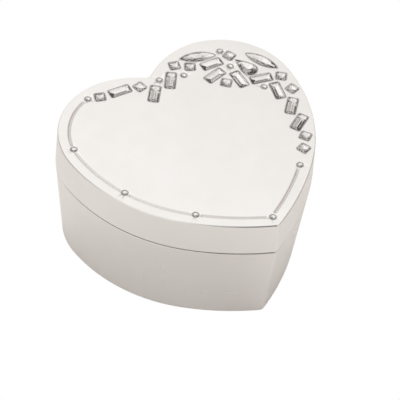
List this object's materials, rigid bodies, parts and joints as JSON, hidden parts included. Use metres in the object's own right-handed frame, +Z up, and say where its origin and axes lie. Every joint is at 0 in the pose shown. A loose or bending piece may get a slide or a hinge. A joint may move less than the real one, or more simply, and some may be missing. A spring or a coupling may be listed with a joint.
{
  "type": "heart-shaped trinket box",
  "caption": "Heart-shaped lidded trinket box in satin plated metal, its flat lid set with clear crystals along one side and its inside lined with velvet",
  "frame": {"origin": "centre of the bounding box's bottom face, on the surface the box stands on", "axes": "+X across the heart from left lobe to right lobe, +Y from the tip to the notch, +Z up"},
  "size_m": [0.09, 0.0856, 0.049],
  "materials": {
    "plated_metal": "satin",
    "crystal": "clear, foil backed",
    "velvet": "velvet pile",
    "card": "matte",
    "felt": "felt"
  },
  "bodies": {
    "base": {"base_shell": "plated_metal", "base_wall_lining": "velvet", "base_floor_card": "card", "base_floor_pad": "velvet", "underside_felt": "felt"},
    "lid": {"lid_shell": "plated_metal", "lid_wall_lining": "velvet", "lid_card": "card", "lid_pad": "velvet", "round_crystal_1": "crystal", "round_crystal_2": "crystal", "round_crystal_3": "crystal", "round_crystal_4": "crystal", "round_crystal_5": "crystal", "round_crystal_6": "crystal", "round_crystal_7": "crystal", "round_crystal_8": "crystal", "round_crystal_9": "crystal", "round_crystal_10": "crystal", "round_crystal_11": "crystal", "square_crystal_1": "crystal", "square_crystal_2": "crystal", "square_crystal_3": "crystal", "square_crystal_4": "crystal", "square_crystal_5": "crystal", "square_crystal_6": "crystal", "square_crystal_7": "crystal", "square_crystal_8": "crystal", "square_crystal_9": "crystal", "square_crystal_10": "crystal", "baguette_crystal_1": "crystal", "baguette_crystal_2": "crystal", "baguette_crystal_3": "crystal", "baguette_crystal_4": "crystal", "baguette_crystal_5": "crystal", "baguette_crystal_6": "crystal", "baguette_crystal_7": "crystal", "baguette_crystal_8": "crystal", "baguette_crystal_9": "crystal", "baguette_crystal_10": "crystal", "navette_crystal_1": "crystal", "navette_crystal_2": "crystal", "pear_crystal": "crystal"}
  },
  "joints": [
    {"name": "lid_lift", "type": "slide", "parent": "base", "child": "lid", "axis": [0, 0, 1], "range_m": [0, 0.06]}
  ]
}
